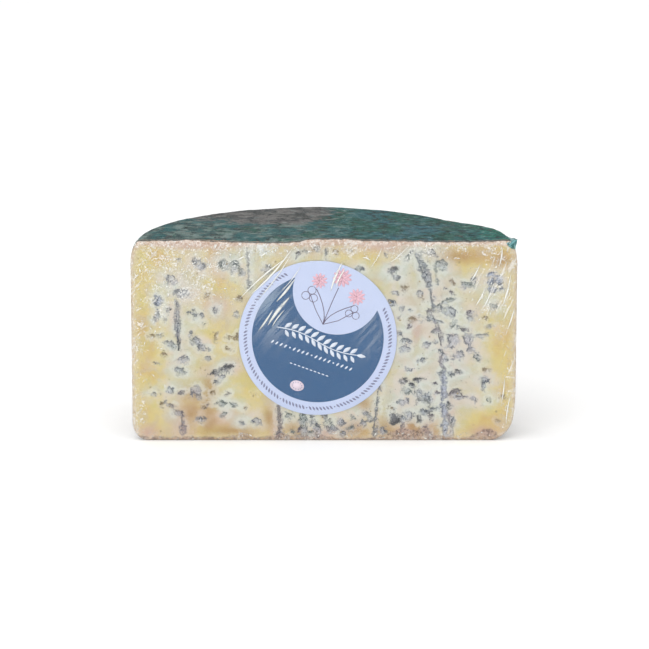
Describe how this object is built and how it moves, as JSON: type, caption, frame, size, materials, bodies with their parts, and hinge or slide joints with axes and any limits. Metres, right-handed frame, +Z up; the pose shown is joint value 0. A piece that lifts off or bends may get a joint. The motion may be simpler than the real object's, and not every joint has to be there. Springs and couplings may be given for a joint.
{
  "type": "half wheel of blue cheese",
  "caption": "Half wheel of natural-rind blue cheese, cut across its diameter, wrapped in clear film with a round paper label on the cut face.",
  "frame": {"origin": "bottom centre of the bounding box of the cheese and its label, on the plane that the base rind rests on", "axes": "+Z up from the base rind to the top rind, -Y out of the cut face, +X to the right of the cut face"},
  "size_m": [0.2, 0.1012, 0.1065],
  "materials": {
    "paste": "moist semi-soft blue cheese paste, ivory to straw yellow with blue-grey mould veins and pockets",
    "rind": "natural rind, green-grey mould on the top and pinkish beige on the wall",
    "label_paper": "coated paper label, slate blue and pale lilac grey",
    "film": "clear glossy stretch film"
  },
  "bodies": {
    "root": {"cheese": "paste", "label": "label_paper"}
  },
  "joints": []
}
